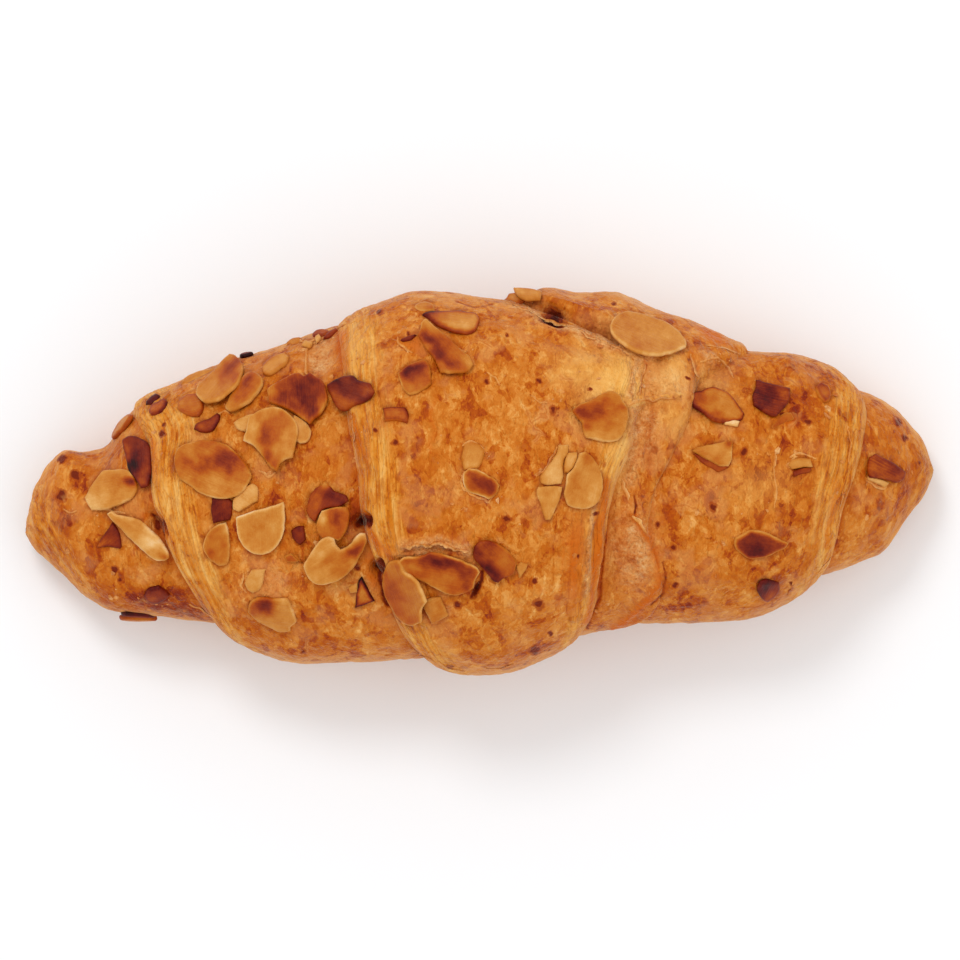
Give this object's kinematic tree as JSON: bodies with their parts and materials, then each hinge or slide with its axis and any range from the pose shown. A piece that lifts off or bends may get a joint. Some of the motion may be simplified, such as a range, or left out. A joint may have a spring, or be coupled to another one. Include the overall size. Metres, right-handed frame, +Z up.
{
  "type": "almond croissant",
  "caption": "Baked crescent roll of laminated dough, tapering to both tips, with slanting rolled turns and flaked almonds baked onto the crust.",
  "frame": {"origin": "centre of the bounding box, on the flat underside that rests on the table", "axes": "+X along the roll from one tip to the other, +Y to the side away from the viewer of a front view, +Z up out of the crust's top"},
  "size_m": [0.166, 0.0701, 0.0484],
  "materials": {
    "crust": "golden brown baked crust, satin, blotched, with finely layered pale edges",
    "almond": "toasted flaked almond, satin, cream to dark brown"
  },
  "bodies": {
    "root": {"croissant": "crust"}
  },
  "joints": []
}
